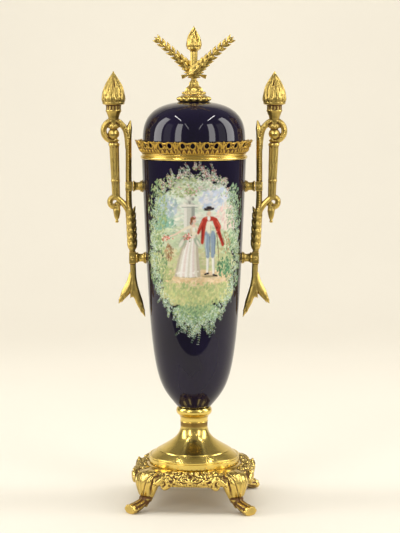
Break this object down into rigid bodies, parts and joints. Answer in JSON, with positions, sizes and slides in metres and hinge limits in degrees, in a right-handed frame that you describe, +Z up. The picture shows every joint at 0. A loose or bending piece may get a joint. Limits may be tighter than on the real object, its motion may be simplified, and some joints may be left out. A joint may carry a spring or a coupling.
{
  "type": "decorative vase",
  "caption": "Covered porcelain vase in gilt brass mounts, with a footed base, torch handles and a torch finial; stands on a shelf or table as an ornament.",
  "frame": {"origin": "on the surface that the feet stand on, under the middle of the vase", "axes": "+Z up along the vase, the painted front faces -Y and the handles stand at +X and -X"},
  "size_m": [0.1982, 0.1474, 0.5093],
  "materials": {
    "gilt_brass": "gilt and antiqued brass: polished on the spun pieces, matte with dark patina in the recesses of the cast pieces",
    "cobalt_porcelain": "gloss cobalt glaze with a painted garden scene on the front"
  },
  "bodies": {
    "root": {"footed_base": "gilt_brass", "socle": "gilt_brass", "vase_body": "cobalt_porcelain", "rim_ring": "gilt_brass", "gallery": "gilt_brass", "lid": "cobalt_porcelain", "finial_rosette": "gilt_brass", "finial_torch": "gilt_brass", "handle_right": "gilt_brass", "boss_upper_right": "gilt_brass", "boss_lower_right": "gilt_brass", "handle_left": "gilt_brass", "boss_upper_left": "gilt_brass", "boss_lower_left": "gilt_brass"}
  },
  "joints": []
}
